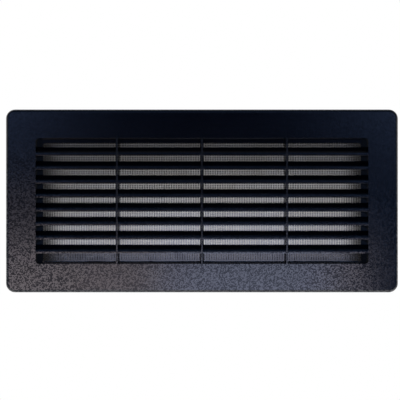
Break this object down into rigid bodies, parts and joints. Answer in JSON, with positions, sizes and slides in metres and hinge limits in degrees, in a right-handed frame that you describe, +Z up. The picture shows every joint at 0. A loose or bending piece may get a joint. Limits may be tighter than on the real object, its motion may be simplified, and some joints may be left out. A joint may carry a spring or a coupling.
{
  "type": "ventilation grille",
  "caption": "Rectangular wall ventilation grille with sloping louvre blades, thin mullions, a rear collar and a fly screen behind the blades.",
  "frame": {"origin": "centre of the whole part's box", "axes": "+X along the blades, to the right seen from the front; the face looks along -Y, and +Y goes into the wall; +Z up"},
  "size_m": [0.3, 0.014, 0.14],
  "materials": {
    "body_plastic": "semi-gloss black with a fine moulded stipple",
    "net": "woven light grey net"
  },
  "bodies": {
    "root": {"grille_body": "body_plastic", "fly_screen": "net"}
  },
  "joints": []
}
